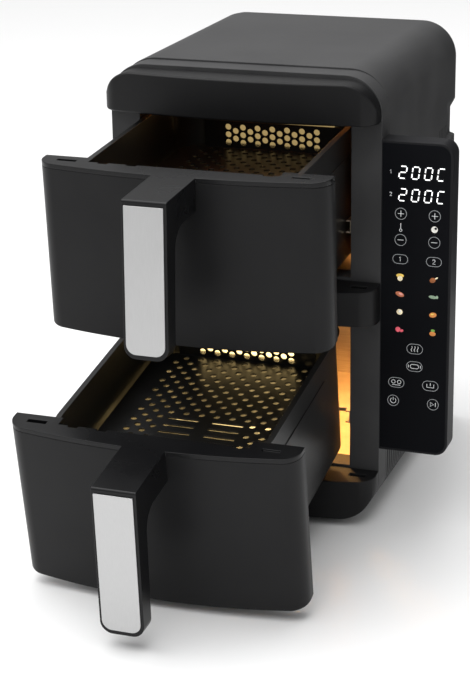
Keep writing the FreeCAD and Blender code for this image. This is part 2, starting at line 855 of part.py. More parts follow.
def panel_pieces():
    left = "half"
    right = "(half + panel_width)"
    housing = new_body("panel_housing")
    pad(housing, "XZ", "0", "panel_depth", [box_corners(left, right, "panel_low", "panel_high")])
    outer_corner = lambda e: runs_along(e, "y") and near(e.CenterOfMass.x, right)
    fillet(housing, "panel_corner", outer_corner)
    back_edge = lambda e: near(e.CenterOfMass.y, "panel_depth") and e.CenterOfMass.x > number(left) + 1
    fillet(housing, "4", back_edge)
    fillet(housing, "0.8", lambda e: near(e.CenterOfMass.y, "0") and e.CenterOfMass.x > number(left) + 1)
    glass_corner = "panel_corner - panel_rim"
    glass_outline = round_box(
        f"{left} + 0.6", f"{right} - panel_rim", "panel_low + panel_rim", "panel_high - panel_rim",
        [None, glass_corner, glass_corner, None],
    )
    pocket(housing, "XZ", "0", "glass_thickness", [glass_outline])
    room = box_corners(
        f"{left} + panel_wall", f"{right} - panel_wall - 2",
        "panel_low + panel_wall + 2", "panel_high - panel_wall - 2",
    )
    pocket(housing, "XZ", "glass_thickness", "panel_depth - panel_wall", [room])
    place_on_housing(housing)

    glass = new_body("panel_glass")
    pad(glass, "XZ", "0", "glass_thickness", [glass_outline])
    place_on_housing(glass)

    display = primitive(
        "Box", "DisplayBlock", ("half + display_across", "glass_thickness", "panel_high - display_drop"),
        Length="42", Width="4", Height="38",
    )
    place_on_housing(group("display_module", [display]))
    board = new_body("touch_board")
    low = "glass_thickness + 4"
    edge = box_corners(f"{left} + 5", f"{right} - 7", "panel_low + 8", "panel_high - 8")
    pad(board, "XZ", low, f"{low} + board_thickness", [edge])
    place_on_housing(board)
    levels = ("panel_low + panel_screw_inset", "panel_high - panel_screw_inset")
    spots = [(f"half + {across}", up) for across in ("12", "46") for up in levels]
    place_on_housing(screw_heads("panel_screws", spots, "panel_depth", "3", "1.4"))


# --- Drawers ----------------------------------------------------------------------------------
# Drawn level, with the origin at the bottom back edge of the front, then tilted and moved out.


def drawer_place(prefix, shut):
    # Where the front's bottom back edge lies once the rear rod has slid out and the drawer droops.
    droop, travel = prefix + "_droop", prefix + "_travel"
    rod_y = f"pivot_back - shut_gap - {travel} * cos(channel_slope)"
    rod_z = f"{shut} + pivot_up + {travel} * sin(channel_slope)"
    back = f"{rod_y} - (pivot_back * cos({droop}) - pivot_up * sin({droop}))"
    up = f"{rod_z} - (pivot_back * sin({droop}) + pivot_up * cos({droop}))"
    return back, up, droop


def place_on_drawer(node, prefix, shut):
    back, up, droop = drawer_place(prefix, shut)
    node.Placement = FreeCAD.Placement(vector(0, 0, 0), FreeCAD.Rotation(vector(1, 0, 0), number(droop)))
    node.setExpression("Placement.Base.y", linked(f"{back} - body_depth / 2"))
    node.setExpression("Placement.Base.z", linked(up))
    nodes.append(node)


def front_shell(prefix, shut):
    body = bowed_block(prefix + "_front_shell", "-bow_depth * tan(ledge_slope) - 1", "cap_low")
    slope_off(body, "0", "0", False)
    # room for the pot, which stands partly inside the front
    reach = "pot_half + rim_width + 1"
    seat = box_corners(f"-({reach})", reach, "-pot_front - rim_width - 0.5", "1")
    pocket(body, "XY", "pot_floor - 3", "cap_low", [seat])
    inner_half = "pot_half + 8"
    inner_side = f"bow_depth - front_wall - ({inner_half}) ^ 2 / (2 * {bow_radius})"
    inner_rise = f"bow_depth - front_wall - ({inner_side})"
    back = "-pot_front - rim_width - 2.5"
    hollow = [
        (f"-({inner_half})", f"-({inner_side})", ("0", "-bow_depth + front_wall"),
         f"((({inner_half}) ^ 2 + ({inner_rise}) ^ 2) / (2 * ({inner_rise})))"),
        (inner_half, f"-({inner_side})"),
        (inner_half, back),
        (f"-({inner_half})", back),
    ]
    pocket(body, "XY", "front_wall", "cap_low", [hollow])
    place_on_drawer(body, prefix, shut)


def handle(prefix, shut):
    # The cap that closes the front shell, with the arm and grip in one moulding.
    body = bowed_block(prefix + "_handle", "cap_low", "front_height")
    top = "front_height"
    under = "front_height - arm_height"
    arm = [
        ("-bow_depth + 6", top),
        ("-reach_top", top),
        ("-reach_foot", "grip_foot"),
        ("-reach_foot + grip_thickness", "grip_foot - 1.4"),
        ("-reach_top + grip_thickness", under),
        ("-bow_depth", under),
        ("-bow_depth", "cap_low"),
        ("-bow_depth + 6", "cap_low"),
    ]
    pad(body, "YZ", "-handle_width / 2", "handle_width / 2", [arm])
    across = lambda e: runs_along(e, "x") and near(e.Length, "handle_width")
    fillet(body, "grip_bend", lambda e: across(e) and near(e.CenterOfMass.y, "-reach_top + grip_thickness"))
    fillet(body, "10", lambda e: abs(e.CenterOfMass.x) > number("handle_width / 2") - 0.1
           and e.CenterOfMass.z < number("grip_foot") and e.Length < number("grip_thickness") + 1)
    fillet(body, "2", lambda e: runs_along(e, "x") and near(e.CenterOfMass.y, "-reach_top"))
    # the pot's mouth, and the socket and notches in the cap
    mouth = box_corners("-pot_half + 8", "pot_half - 8", "-pot_front + 1", "1")
    pocket(body, "XY", "cap_low", top, [mouth])
    socket = box_corners("-half + 14", "-half + 30", "-12", "-7.5")
    pocket(body, "XY", "cap_low", top, [socket])
    notches = [
        box_corners(f"{x} - 4", f"{x} + 4", "-pot_front - 1.5", "-pot_front + 1.5") for x in (-66, -42, 70)
    ]
    pocket(body, "XY", "cap_low + 1", top, notches)
    pocket(body, "XY", "front_height - 1.5", top, [box_corners("half - 30", "half - 16", "-13", "-9.5")])
    place_on_drawer(body, prefix, shut)


def handle_trim(prefix, shut):
    body = new_body(prefix + "_handle_trim")
    lean = "((reach_foot - reach_top) / (front_height - grip_foot))"

    def on_face(up, out):
        return (f"-(reach_top + (front_height - ({up})) * {lean}) - {out}", up)

    high, low = "front_height - trim_margin", "grip_foot + trim_margin"
    thick = "trim_thickness"
    plate = [on_face(high, "0"), on_face(low, "0"), on_face(low, thick), on_face(high, thick)]
    pad(body, "YZ", "-trim_width / 2", "trim_width / 2", [plate])
    short, foot = number(thick) * 1.5, number("grip_foot + 10")
    fillet(body, "trim_corner", lambda e: e.Length < short and e.CenterOfMass.z < foot)
    place_on_drawer(body, prefix, shut)


def pot(prefix, shut):
    outer = new_body(prefix + "PotOuter")
    side, front, back = "pot_half", "-pot_front", "pot_back"
    plan = round_box(f"-{side}", side, front, back, ["pot_corner"] * 4)
    pad(outer, "XY", "pot_floor", "pot_rim", [plan])
    fillet(outer, "pot_heel", lambda e: middle_at(e, z="pot_floor"))
    flange = round_box(
        "-pot_half - rim_width", "pot_half + rim_width",
        "-pot_front - rim_width", "pot_back + rim_width",
        ["pot_corner + rim_width"] * 4,
    )
    pad(outer, "XY", "pot_rim - rim_thickness", "pot_rim", [flange])
    # long rounded panels pressed into the side walls
    panel = round_box("32", "pot_back - 46", "34", "104", ["14"] * 4)
    pad(outer, "YZ", "-pot_half - emboss_height", "-pot_half", [panel])
    pad(outer, "YZ", "pot_half", "pot_half + emboss_height", [panel])

    inner = new_body(prefix + "PotInner")
    inside = round_box(
        f"-{side} + pot_wall", f"{side} - pot_wall", f"{front} + pot_wall", f"{back} - pot_wall",
        ["pot_corner - pot_wall"] * 4,
    )
    pad(inner, "XY", "pot_floor + pot_wall", "pot_rim + 1", [inside])
    fillet(inner, "pot_heel - pot_wall", lambda e: middle_at(e, z="pot_floor + pot_wall"))
    cut = doc.addObject("Part::Cut", prefix + "_pot")
    cut.Label = prefix + "_pot"
    cut.Base = outer
    cut.Tool = inner
    place_on_drawer(cut, prefix, shut)


def pot_fixings(prefix, shut):
    # The bracket between pot and front, and the two screw heads inside the pot.
    seat = "-pot_front - rim_width - 0.5"
    bracket = new_body(prefix + "_pot_bracket")
    pad(bracket, "XY", "34", "100", [box_corners("-45", "45", seat, "-pot_front")])
    pocket(bracket, "XY", "34", "100", [box_corners("-43", "43", f"{seat} + 1.2", "-pot_front - 1.2")])
    place_on_drawer(bracket, prefix, shut)
    spots = [("-30", "72"), ("30", "72")]
    heads = screw_heads(prefix + "_pot_screws", spots, "-pot_front + pot_wall", "4", "1.6")
    place_on_drawer(heads, prefix, shut)
    magnet = primitive(
        "Box", "MagnetBlock", ("magnet_across", "-pot_front - rim_width - 7.5", "magnet_up"),
        Length="12", Width="magnet_depth", Height="magnet_height",
    )
    place_on_drawer(group(prefix + "_magnet", [magnet]), prefix, shut)


def rear_rod(prefix, shut):
    # The rod behind the pot, the clips that hold it, and its two shoes.
    reach = "mouth_half - slide_gap - channel_wall"
    end = (f"-({reach})", "pivot_back", "pivot_up")
    rod = primitive("Cylinder", "Rod", end, Radius="rod_radius", Height=f"2 * ({reach})")
    place_on_drawer(group(prefix + "_pivot_rod", [turned(rod, vector(0, 1, 0), 90)]), prefix, shut)
    clips = []
    for hand in (-1, 1):
        body = new_body("Clip")
        block = box_corners("pot_back", "pivot_back + rod_radius + 1.2", "pivot_up - 5", "pivot_up + 5")
        left, right = f"{hand} * clip_across - clip_half", f"{hand} * clip_across + clip_half"
        pad(body, "YZ", left, right, [block])
        pocket(body, "YZ", left, right, rings=[("pivot_back", "pivot_up", "rod_radius")])
        clips.append(body)
    place_on_drawer(group(prefix + "_rod_clips", clips), prefix, shut)


def guide_shoes(prefix, shut):
    # Nylon blocks that slide in the channels, level with the channel and not with the drawer.
    shoes = []
    outer = "mouth_half - slide_gap - channel_wall"
    for hand in (-1, 1):
        body = new_body("Shoe")
        low = f"{outer} - shoe_thickness" if hand > 0 else f"-({outer})"
        high = f"({low}) + shoe_thickness"
        block = box_corners("-shoe_length / 2", "shoe_length / 2", "-shoe_height / 2", "shoe_height / 2")
        pad(body, "YZ", low, high, [block])
        fillet(body, "1.5", lambda e: runs_along(e, "x"))
        pocket(body, "YZ", low, high, rings=[("0", "0", "rod_radius + running_fit")])
        shoes.append(body)
    whole = group(prefix + "_guide_shoes", shoes)
    lean = FreeCAD.Rotation(vector(1, 0, 0), -number("channel_slope"))
    whole.Placement = FreeCAD.Placement(vector(0, 0, 0), lean)
    travel = prefix + "_travel"
    back = f"pivot_back - shut_gap - {travel} * cos(channel_slope) - body_depth / 2"
    whole.setExpression("Placement.Base.y", linked(back))
    whole.setExpression("Placement.Base.z", linked(f"{shut} + pivot_up + {travel} * sin(channel_slope)"))
    nodes.append(whole)


def crisper(prefix, shut):
    # The perforated tray that stands high in the pot on four legs and lifts out.
    body = new_body(prefix + "_crisper_plate")
    high = "plate_low + plate_thickness"
    side = "pot_half - pot_wall - plate_gap"
    front = "-pot_front + pot_wall + plate_gap"
    back = "pot_back - pot_wall - plate_gap"
    corner = "(pot_corner - pot_wall - plate_gap)"
    pad(body, "XY", "plate_low", high, [box_corners(f"-({side})", side, front, back)])
    fillet(body, corner, lambda e: runs_along(e, "z"))
    # its upright back, drilled in staggered rows
    inner = f"{back} - plate_thickness"
    straight = f"{side} - {corner}"
    upright = box_corners(f"-({straight})", straight, "plate_low", f"{high} + tray_back")
    pad(body, "XZ", inner, back, [upright])

    def hole_row(columns, along):
        return [(f"({k}) * hole_pitch", along, "hole_radius") for k in columns]

    first = f"{high} + back_row + hole_radius / 2"
    even = pocket(body, "XZ", inner, back, rings=hole_row(range(-3, 4), first))
    repeat(body, even, "Z", "4 * back_row", 3)
    odd_columns = [k + 0.5 for k in range(-3, 3)]
    odd = pocket(body, "XZ", inner, back, rings=hole_row(odd_columns, f"{first} + back_row"))
    repeat(body, odd, "Z", "2 * back_row", 2)
    # staggered rows of round holes behind, the same along both sides, and long slots between
    rear_row = f"{inner} - 6"
    last = int(number(f"({side} - hole_radius - 2) / hole_pitch"))
    narrow = last - 1
    staggered = [k + 0.5 for k in range(-last, last)]
    holes = hole_row(range(-narrow, narrow + 1), rear_row)
    holes += hole_row(staggered, f"{rear_row} - hole_step")
    wide = pocket(body, "XY", "plate_low", high, rings=holes)
    repeat(body, wide, "Y", "10 * hole_step", 6, backwards=True)
    side_row = f"{rear_row} - 12 * hole_step"
    outer_columns = [hand * (narrow - k) for hand in (-1, 1) for k in (0, 1)]
    inner_columns = [hand * (last - 0.5 - k) for hand in (-1, 1) for k in (0, 1)]
    holes = hole_row(outer_columns, side_row)
    holes += hole_row(inner_columns, f"{side_row} - hole_step")
    sides = pocket(body, "XY", "plate_low", high, rings=holes)
    repeat(body, sides, "Y", "10 * hole_step", 6, backwards=True)
    for hand in (-1, 1):
        left, right = ("slot_start", "slot_end") if hand > 0 else ("-slot_end", "-slot_start")
        opening = box_corners(left, right, f"{side_row} - tray_slot", side_row)
        slot = pocket(body, "XY", "plate_low", high, [opening])
        repeat(body, slot, "Y", "88", 9, backwards=True)
    feet = []
    for hand in (-1, 1):
        for along in (f"{front} + leg_inset_back", f"({back}) - leg_inset_back"):
            at = (f"{hand} * (({side}) - leg_inset)", along, "pot_floor + pot_wall + slide_gap")
            length = "plate_low - pot_floor - pot_wall - slide_gap"
            feet.append(primitive("Cylinder", "PlateFoot", at, Radius="leg_radius", Height=length))
    place_on_drawer(group(prefix + "_crisper_feet", feet), prefix, shut)
    place_on_drawer(body, prefix, shut)


def check(node):
    for part in node.OutListRecursive + [node]:
        if "Invalid" in part.State or "Error" in part.State:
            raise ValueError(f"{part.Name} in {node.Label} failed: {part.State}")
    shape = node.Shape
    if shape.isNull() or not shape.isValid() or shape.Volume <= 0:
        raise ValueError(f"{node.Label} has no valid shape")


for build in (
    top_fascia, divider_band, plinth, front_frame, housing_cover, rear_cover, chassis_plate,
    cavity_posts, rubber_feet,
    cable_grommet, rear_screws, exhaust_ducts, thermal_cutouts, power_board, reed_switches, catch_springs,
    panel_pieces,
):
    build()
for prefix, shut in (("lower", "lower_shut"), ("upper", "upper_shut")):
    for build in (
        liner, runners, heater, fan, motor, front_shell, handle, handle_trim, pot, pot_fixings, rear_rod,
        guide_shoes, crisper,
    ):
        build(prefix, shut)

doc.recompute()
for node in nodes:
    check(node)
os.makedirs("parts", exist_ok=True)
for node in nodes:
    node.Shape.exportStep(f"parts/{node.Label}.step")
print(len(nodes), "pieces written")
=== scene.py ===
import json
import math

import bmesh
import bpy
from mathutils import Matrix, Vector

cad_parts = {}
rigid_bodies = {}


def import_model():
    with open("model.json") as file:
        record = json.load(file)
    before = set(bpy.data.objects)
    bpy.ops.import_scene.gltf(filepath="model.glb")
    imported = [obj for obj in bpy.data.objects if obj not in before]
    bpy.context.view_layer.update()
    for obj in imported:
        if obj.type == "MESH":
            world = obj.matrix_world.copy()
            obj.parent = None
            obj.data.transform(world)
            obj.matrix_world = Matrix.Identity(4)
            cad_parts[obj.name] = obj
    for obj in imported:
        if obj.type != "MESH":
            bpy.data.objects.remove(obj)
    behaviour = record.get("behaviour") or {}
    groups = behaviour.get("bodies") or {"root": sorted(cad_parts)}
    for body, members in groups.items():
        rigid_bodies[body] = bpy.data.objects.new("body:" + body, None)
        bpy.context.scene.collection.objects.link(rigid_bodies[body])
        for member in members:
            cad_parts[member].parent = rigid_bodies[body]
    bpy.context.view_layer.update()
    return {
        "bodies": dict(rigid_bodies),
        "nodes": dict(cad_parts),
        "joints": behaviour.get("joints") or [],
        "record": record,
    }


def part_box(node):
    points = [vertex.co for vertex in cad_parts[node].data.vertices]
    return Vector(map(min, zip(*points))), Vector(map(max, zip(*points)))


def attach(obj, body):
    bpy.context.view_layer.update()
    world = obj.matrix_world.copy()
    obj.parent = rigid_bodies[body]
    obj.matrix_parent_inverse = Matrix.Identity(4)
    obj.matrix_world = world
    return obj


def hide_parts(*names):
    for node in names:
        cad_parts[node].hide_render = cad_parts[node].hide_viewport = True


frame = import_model()
nodes = frame["nodes"]
bodies = frame["record"]["behaviour"]["bodies"]
bodyOf = {node: body for body, members in bodies.items() for node in members}
slotOf = {part["node"]: part["material_slot"] for part in frame["record"]["subparts"]}
print("frame loaded:", len(nodes), "nodes")

mm = 0.001
drawers = ("lower", "upper")


# shader helpers

def addNode(tree, kind, settings=None, **inputs):
    node = tree.nodes.new("ShaderNode" + kind)
    for name, value in (settings or {}).items():
        setattr(node, name, value)
    for name, value in inputs.items():
        socket = node.inputs[name.replace("_", " ")]
        if isinstance(value, bpy.types.NodeSocket):
            tree.links.new(value, socket)
        else:
            socket.default_value = value
    return node


def mixColour(tree, factor, first, second):
    node = tree.nodes.new("ShaderNodeMix")
    node.data_type = "RGBA"
    for socket, value in ((node.inputs[0], factor), (node.inputs[6], first), (node.inputs[7], second)):
        if isinstance(value, bpy.types.NodeSocket):
            tree.links.new(value, socket)
        else:
            socket.default_value = value
    return node.outputs[2]


def spread(tree, value, low, high, fromLow=0.0, fromHigh=1.0):
    # Stretches a mask onto the range low to high.
    node = addNode(tree, "MapRange", None, Value=value)
    for name, number in (("From Min", fromLow), ("From Max", fromHigh), ("To Min", low), ("To Max", high)):
        node.inputs[name].default_value = number
    return node.outputs["Result"]


def newGroup(name, inputs, outputs):
    group = bpy.data.node_groups.new(name, "ShaderNodeTree")
    for socketName, default in inputs.items():
        socket = group.interface.new_socket(socketName, in_out="INPUT", socket_type="NodeSocketFloat")
        socket.default_value = default
    for socketName, kind in outputs.items():
        group.interface.new_socket(socketName, in_out="OUTPUT", socket_type="NodeSocket" + kind)
    return group, group.nodes.new("NodeGroupInput"), group.nodes.new("NodeGroupOutput")


def buildGrainGroup():
    # Fine moulded or sprayed texture, with broad soft blotches for handling marks.
    group, start, end = newGroup(
        "surfaceGrain", {"Grain Scale": 1400.0, "Grain Depth": 0.1, "Blotch Scale": 14.0},
        {"Grain": "Float", "Blotch": "Float", "Normal": "Vector"},
    )
    place = addNode(group, "TexCoord").outputs["Object"]
    grainScale, blotchScale = start.outputs["Grain Scale"], start.outputs["Blotch Scale"]
    grain = addNode(group, "TexNoise", None, Vector=place, Scale=grainScale, Detail=3.0, Roughness=0.6)
    blotch = addNode(group, "TexNoise", None, Vector=place, Scale=blotchScale, Detail=4.0, Roughness=0.55)
    depth = start.outputs["Grain Depth"]
    bump = addNode(group, "Bump", None, Strength=depth, Distance=0.2 * mm, Height=grain.outputs[0])
    group.links.new(spread(group, grain.outputs[0], 0, 1, 0.3, 0.7), end.inputs["Grain"])
    group.links.new(spread(group, blotch.outputs[0], 0, 1, 0.35, 0.65), end.inputs["Blotch"])
    group.links.new(bump.outputs[0], end.inputs["Normal"])
    return group


def buildBrushGroup():
    # Long fine lines of brushed sheet, which run along one axis.
    group, start, end = newGroup(
        "brushLines", {"Across X": 2600.0, "Across Y": 2600.0, "Across Z": 30.0, "Line Depth": 0.1},
        {"Lines": "Float", "Normal": "Vector"},
    )
    place = addNode(group, "TexCoord").outputs["Object"]
    scale = group.nodes.new("ShaderNodeCombineXYZ")
    for axis in "XYZ":
        group.links.new(start.outputs["Across " + axis], scale.inputs[axis])
    stretched = addNode(group, "VectorMath", {"operation": "MULTIPLY"})
    group.links.new(place, stretched.inputs[0])
    group.links.new(scale.outputs[0], stretched.inputs[1])
    lines = addNode(group, "TexNoise", None, Vector=stretched.outputs[0], Scale=1.0, Detail=2.0)
    depth = start.outputs["Line Depth"]
    bump = addNode(group, "Bump", None, Strength=depth, Distance=0.1 * mm, Height=lines.outputs[0])
    group.links.new(spread(group, lines.outputs[0], 0, 1, 0.3, 0.7), end.inputs["Lines"])
    group.links.new(bump.outputs[0], end.inputs["Normal"])
    return group


grainGroup = buildGrainGroup()
brushGroup = buildBrushGroup()


def placeGroup(tree, group, values):
    node = tree.nodes.new("ShaderNodeGroup")
    node.node_tree = group
    for name, value in values.items():
        node.inputs[name].default_value = value
    return node


def newMaterial(name, constants):
    material = bpy.data.materials.new(name)
    material.use_nodes = True
    tree = material.node_tree
    shader = tree.nodes["Principled BSDF"]
    for socketName, value in constants.items():
        shader.inputs[socketName].default_value = value
    return material, tree, shader


def grainedMaterial(name, finish):
    # A plastic, rubber or sprayed coat: two close tones, uneven gloss and a fine grain.
    material, tree, shader = newMaterial(name, finish.get("constants", {}))
    grain = placeGroup(tree, grainGroup, finish.get("grain", {}))
    colour = mixColour(tree, grain.outputs["Blotch"], (*finish["dark"], 1), (*finish["light"], 1))
    speck = finish.get("speck")
    if speck:
        mask = spread(tree, grain.outputs["Grain"], 0, speck["share"], 0.72, 1)
        colour = mixColour(tree, mask, colour, (*speck["colour"], 1))
    tree.links.new(colour, shader.inputs["Base Color"])
    low, high = finish["roughness"]
    tree.links.new(spread(tree, grain.outputs["Blotch"], low, high), shader.inputs["Roughness"])
    tree.links.new(grain.outputs["Normal"], shader.inputs["Normal"])
    return material


def brushedMaterial(name, finish):
    material, tree, shader = newMaterial(name, {"Metallic": 1.0, **finish.get("constants", {})})
    brush = placeGroup(tree, brushGroup, finish.get("brush", {}))
    grain = placeGroup(tree, grainGroup, {"Blotch Scale": finish.get("blotchScale", 20.0)})
    colour = mixColour(tree, brush.outputs["Lines"], (*finish["dark"], 1), (*finish["light"], 1))
    # darker brown blotches mixed into the colour; on the liner they sit over its painted warm light
    brownBlotch = finish.get("brownBlotch")
    if brownBlotch:
        mask = spread(tree, grain.outputs["Blotch"], 0, brownBlotch["share"])
        colour = mixColour(tree, mask, colour, (*brownBlotch["colour"], 1))
    tree.links.new(colour, shader.inputs["Base Color"])
    low, high = finish["roughness"]
    tree.links.new(spread(tree, grain.outputs["Blotch"], low, high), shader.inputs["Roughness"])
    tree.links.new(brush.outputs["Normal"], shader.inputs["Normal"])
    return material


grainedFinishes = {
    "housing_plastic": {
        "dark": (0.044, 0.044, 0.045), "light": (0.058, 0.058, 0.059), "roughness": (0.42, 0.5),
        "grain": {"Grain Scale": 1500.0, "Grain Depth": 0.22}, "constants": {"Specular IOR Level": 0.14},
    },
    "front_plastic": {
        "dark": (0.0075, 0.0075, 0.008), "light": (0.0105, 0.0105, 0.011), "roughness": (0.36, 0.42),
        "grain": {"Grain Scale": 1900.0, "Grain Depth": 0.14}, "constants": {"Specular IOR Level": 0.17},
    },
    "handle_plastic": {
        "dark": (0.0035, 0.0035, 0.004), "light": (0.0055, 0.0055, 0.006), "roughness": (0.26, 0.32),
        "grain": {"Grain Scale": 2100.0, "Grain Depth": 0.08}, "constants": {"Specular IOR Level": 0.24},
    },
    "panel_plastic": {
        "dark": (0.016, 0.016, 0.017), "light": (0.021, 0.021, 0.023), "roughness": (0.38, 0.45),
        "grain": {"Grain Scale": 1900.0, "Grain Depth": 0.12}, "constants": {"Specular IOR Level": 0.05},
    },
    "panel_glass": {
        "dark": (0.0052, 0.0056, 0.007), "light": (0.006, 0.0064, 0.0078), "roughness": (0.42, 0.48),
        "grain": {"Grain Scale": 500.0, "Grain Depth": 0.005, "Blotch Scale": 22.0},
        "constants": {"Specular IOR Level": 0.04},
    },
    "coated_steel": {
        "dark": (0.009, 0.0088, 0.0085), "light": (0.014, 0.0136, 0.013), "roughness": (0.28, 0.36),
        "grain": {"Grain Scale": 900.0, "Grain Depth": 0.2},
        "speck": {"colour": (0.04, 0.039, 0.036), "share": 0.4},
        "constants": {"Metallic": 0.1, "Specular IOR Level": 0.4},
    },
    "black_rubber": {
        "dark": (0.01, 0.01, 0.01), "light": (0.02, 0.02, 0.02), "roughness": (0.7, 0.85),
        "grain": {"Grain Scale": 900.0, "Grain Depth": 0.3}, "constants": {"Specular IOR Level": 0.25},
    },
    "nylon": {
        "dark": (0.6, 0.58, 0.52), "light": (0.72, 0.7, 0.64), "roughness": (0.4, 0.5),
        "grain": {"Grain Scale": 1100.0, "Grain Depth": 0.1}, "constants": {"Subsurface Weight": 0.1},
    },
    "circuit_board": {
        "dark": (0.01, 0.07, 0.03), "light": (0.02, 0.1, 0.045), "roughness": (0.25, 0.4),
        "grain": {"Grain Scale": 700.0, "Grain Depth": 0.1, "Blotch Scale": 160.0},
    },
    "relay_plastic": {
        "dark": (0.015, 0.015, 0.02), "light": (0.03, 0.03, 0.035), "roughness": (0.3, 0.4),
        "grain": {"Grain Scale": 1500.0, "Grain Depth": 0.1},
    },
    "display_plastic": {
        "dark": (0.5, 0.51, 0.53), "light": (0.6, 0.61, 0.63), "roughness": (0.3, 0.4),
        "grain": {"Grain Scale": 1500.0, "Grain Depth": 0.1},
    },
    "magnet": {
        "dark": (0.05, 0.05, 0.052), "light": (0.09, 0.09, 0.092), "roughness": (0.45, 0.6),
        "grain": {"Grain Scale": 1200.0, "Grain Depth": 0.3}, "constants": {"Metallic": 0.6},
    },
    "motor_steel": {
        "dark": (0.22, 0.22, 0.22), "light": (0.32, 0.32, 0.31), "roughness": (0.4, 0.55),
        "grain": {"Grain Scale": 900.0, "Grain Depth": 0.15}, "constants": {"Metallic": 0.8},
    },
}
brushedFinishes = {
    "trim_steel": {
        "dark": (0.47, 0.47, 0.47), "light": (0.5, 0.5, 0.5), "roughness": (0.3, 0.35),
        "brush": {"Across X": 3400.0, "Across Y": 3400.0, "Across Z": 18.0, "Line Depth": 0.02},
    },
    # the golden tone is painted warm light, the cavity glow on plain steel, laid into the base colour
    "liner_steel": {
        "dark": (0.5, 0.43, 0.33), "light": (0.62, 0.55, 0.44), "roughness": (0.3, 0.42),
        "brush": {"Across X": 40.0, "Across Y": 40.0, "Across Z": 1800.0, "Line Depth": 0.1},
        "brownBlotch": {"colour": (0.36, 0.26, 0.15), "share": 0.3}, "blotchScale": 9.0,
    },
    "bright_steel": {
        "dark": (0.5, 0.5, 0.5), "light": (0.64, 0.64, 0.63), "roughness": (0.22, 0.34),
        "brush": {"Across X": 1500.0, "Across Y": 90.0, "Across Z": 1500.0, "Line Depth": 0.08},
    },
    "fan_aluminium": {
        "dark": (0.55, 0.55, 0.55), "light": (0.68, 0.68, 0.67), "roughness": (0.35, 0.45),
        "brush": {"Across X": 900.0, "Across Y": 900.0, "Across Z": 900.0, "Line Depth": 0.08},
    },
}


def heaterMaterial():
    # Heat-tinted tube that glows a dull orange.
    material, tree, shader = newMaterial("heater_steel", {"Metallic": 1.0, "Emission Strength": 2.5})
    grain = placeGroup(tree, grainGroup, {"Grain Scale": 900.0, "Blotch Scale": 60.0})
    blotch = grain.outputs["Blotch"]
    tint = mixColour(tree, blotch, (0.2, 0.12, 0.07, 1), (0.32, 0.22, 0.15, 1))
    heat = mixColour(tree, blotch, (1.0, 0.24, 0.04, 1), (1.0, 0.36, 0.08, 1))
    tree.links.new(tint, shader.inputs["Base Color"])
    tree.links.new(heat, shader.inputs["Emission Color"])
    tree.links.new(spread(tree, blotch, 0.35, 0.5), shader.inputs["Roughness"])
    tree.links.new(grain.outputs["Normal"], shader.inputs["Normal"])
    return material


finishes = {name: grainedMaterial(name, finish) for name, finish in grainedFinishes.items()}
finishes.update({name: brushedMaterial(name, finish) for name, finish in brushedFinishes.items()})
finishes["heater_steel"] = heaterMaterial()
print("materials:", len(finishes))


# the CAD nodes take their slot's finish

for nodeName, node in nodes.items():
    node.data.materials.clear()
    node.data.materials.append(finishes[slotOf[nodeName]])


# mesh helpers

def addPiece(name, shape, material, body, smooth=35):
    mesh = bpy.data.meshes.new(name)
    shape.to_mesh(mesh)
    shape.free()
    for face in mesh.polygons:
        face.use_smooth = True
    mesh.set_sharp_from_angle(angle=math.radians(smooth))
    mesh.materials.append(material)
    piece = bpy.data.objects.new(name, mesh)
    bpy.context.scene.collection.objects.link(piece)
    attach(piece, body)
    return piece


def mergedCopy(nodeName):
    # The node's loose triangles joined up, with flat areas cleared of their inner edges.
    shape = bmesh.new()
    shape.from_mesh(nodes[nodeName].data)
    bmesh.ops.remove_doubles(shape, verts=shape.verts, dist=0.005 * mm)
    bmesh.ops.dissolve_limit(shape, angle_limit=math.radians(0.4), verts=shape.verts, edges=shape.edges)
    return shape


def sharpEdges(shape, angle=38):
    return [e for e in shape.edges if e.is_manifold and e.calc_face_angle(0) > math.radians(angle)]


def softenEdges(shape, edges, width, steps=2):
    bmesh.ops.bevel(
        shape, geom=edges, offset=width, offset_type="OFFSET", affect="EDGES",
        segments=steps, profile=0.5, material=-1, clamp_overlap=False,
    )


softEdges = {
    "housing_cover": 0.5, "rear_cover": 0.4, "front_frame": 0.6, "top_fascia": 2.0, "divider_band": 0.8,
    "plinth": 0.8, "panel_glass": 0.25,
}
for side in drawers:
    softEdges[side + "_front_shell"] = 0.6
    softEdges[side + "_handle"] = 0.5
    softEdges[side + "_handle_trim"] = 0.3
    softEdges[side + "_pot"] = 0.25
    softEdges[side + "_crisper_plate"] = 0.25


def softenedNode(nodeName, width):
    # The same shape with the small rounds that every moulded or pressed edge has.
    shape = mergedCopy(nodeName)
    softenEdges(shape, sharpEdges(shape), width * mm)
    slotName = slotOf[nodeName]
    piece = addPiece(nodeName + "_shape", shape, finishes[slotName], bodyOf[nodeName])
    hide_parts(nodeName)
    even = piece.modifiers.new("evenShading", "WEIGHTED_NORMAL")
    even.keep_sharp = True
    return piece


for nodeName, width in softEdges.items():
    softenedNode(nodeName, width)
print("softened pieces:", len(softEdges))


# control panel marks

panelLow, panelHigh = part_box("panel_glass")
panel = {
    "proud": 0.06 * mm,      # how far the print stands off the glass
    "flatten": 0.12,         # thickness of a printed line against its width
    "line": 0.42,
    "sign": 0.5,
}
digit = {
    "height": 10.0, "width": 5.7, "pitch": 10.7, "slant": 0.13, "stroke": 1.15, "gap": 0.75,
    "rows": (23.6, 42.5), "left": 13.8, "glow": 1.1,
}
segmentEnds = {
    "a": ((0, 1), (1, 1)), "b": ((1, 1), (1, 0.5)), "c": ((1, 0.5), (1, 0)), "d": ((0, 0), (1, 0)),
    "e": ((0, 0.5), (0, 0)), "f": ((0, 1), (0, 0.5)), "g": ((0, 0.5), (1, 0.5)),
}
segmentsOf = {"2": "abged", "0": "abcdef", "C": "adef"}


